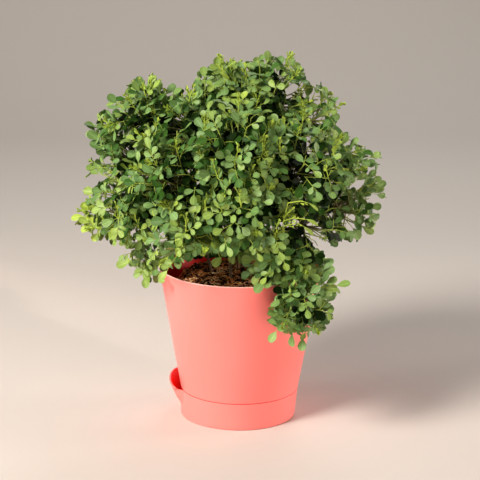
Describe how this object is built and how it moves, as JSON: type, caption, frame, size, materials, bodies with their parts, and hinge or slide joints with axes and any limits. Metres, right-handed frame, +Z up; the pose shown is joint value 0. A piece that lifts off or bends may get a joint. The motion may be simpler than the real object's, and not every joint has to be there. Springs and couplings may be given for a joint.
{
  "type": "potted orange jasmine",
  "caption": "Dense young orange jasmine shrub with small pinnate leaves, growing in soil in a round tapered self-watering plastic pot on its tray with a watering lip.",
  "frame": {"origin": "centre of the tray's underside, on the surface that the pot stands on", "axes": "+Z up; the front is towards -Y, and the watering lip is on the left, towards -X"},
  "size_m": [0.3004, 0.2667, 0.3456],
  "materials": {
    "pot_plastic": "satin moulded coral-pink polypropylene",
    "tray_plastic": "satin moulded coral-pink polypropylene, red inside the watering lip",
    "soil": "crumbly coco peat with orange-brown fibres",
    "bark": "thin pale-brown young bark, green towards the tips",
    "leaves": "softly glossy green leaflets, yellow-green where they are young"
  },
  "bodies": {
    "root": {"pot": "pot_plastic", "watering_tray": "tray_plastic", "potting_soil": "soil", "woody_stem_left": "bark", "woody_stem_front": "bark", "woody_stem_front_right": "bark", "woody_stem_middle": "bark", "woody_stem_right": "bark", "woody_stem_back": "bark", "leafy_spray_left_top": "leaves", "leafy_spray_left_upper": "leaves", "leafy_spray_left_middle": "leaves", "leafy_spray_left_low": "leaves", "leafy_spray_left_hanging": "leaves", "leafy_spray_top_left": "leaves", "leafy_spray_top_middle": "leaves", "leafy_spray_top_right": "leaves", "leafy_spray_shoulder": "leaves", "leafy_spray_right_upper": "leaves", "leafy_spray_right_middle": "leaves", "leafy_spray_front_left": "leaves", "leafy_spray_front_middle": "leaves", "leafy_spray_front_right": "leaves", "leafy_spray_front_low_left": "leaves", "leafy_spray_front_low": "leaves", "leafy_spray_front_low_right": "leaves", "leafy_spray_rim_right": "leaves", "leafy_spray_hanging_right": "leaves", "leafy_spray_back_top": "leaves", "leafy_spray_back_top_left": "leaves", "leafy_spray_back_top_right": "leaves", "leafy_spray_back_left": "leaves", "leafy_spray_back_middle": "leaves", "leafy_spray_back_right": "leaves", "leafy_spray_back_side": "leaves"}
  },
  "joints": []
}
